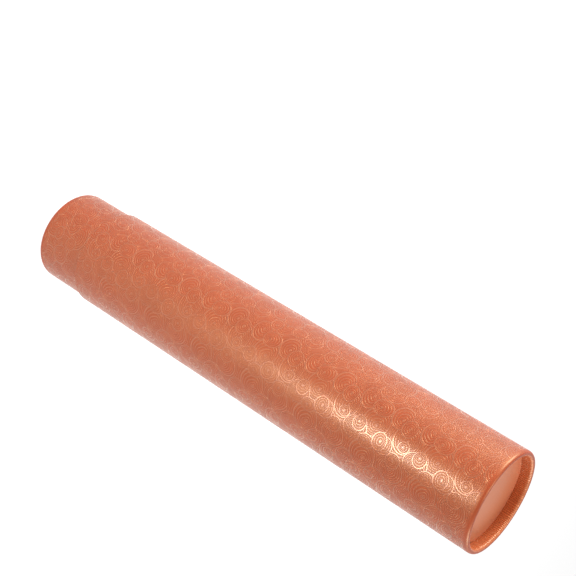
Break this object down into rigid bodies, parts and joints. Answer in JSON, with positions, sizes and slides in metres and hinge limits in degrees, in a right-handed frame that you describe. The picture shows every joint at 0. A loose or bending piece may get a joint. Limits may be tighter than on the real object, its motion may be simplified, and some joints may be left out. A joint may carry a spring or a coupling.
{
  "type": "telescopic poster tube",
  "caption": "Telescopic cardboard poster tube covered in ring-embossed pearl paper, with curled rims, recessed end discs and a wide half that slides off the narrow half.",
  "frame": {"origin": "centre of the narrow half's curled rim, on the surface that the tube stands on", "axes": "+Z along the tube's axis, from the narrow half's closed end to the wide half's closed end; +Y towards the paper's lap seams at the back"},
  "size_m": [0.06, 0.0602, 0.325],
  "materials": {
    "pearl_paper": "metallic pearl paper, embossed with overlapping rings",
    "smooth_paper": "smooth satin pearl paper",
    "board": "bare wound board"
  },
  "bodies": {
    "inner_half": {"inner_board_tube": "board", "inner_wrap_paper": "pearl_paper", "inner_end_disc": "board", "inner_disc_facing": "smooth_paper"},
    "outer_half": {"outer_board_tube": "board", "outer_wrap_paper": "pearl_paper", "outer_end_disc": "board", "outer_disc_facing": "smooth_paper"}
  },
  "joints": [
    {"name": "telescope_slide", "type": "slide", "parent": "inner_half", "child": "outer_half", "axis": [0, 0, 1], "range_m": [0, 0.35]}
  ]
}
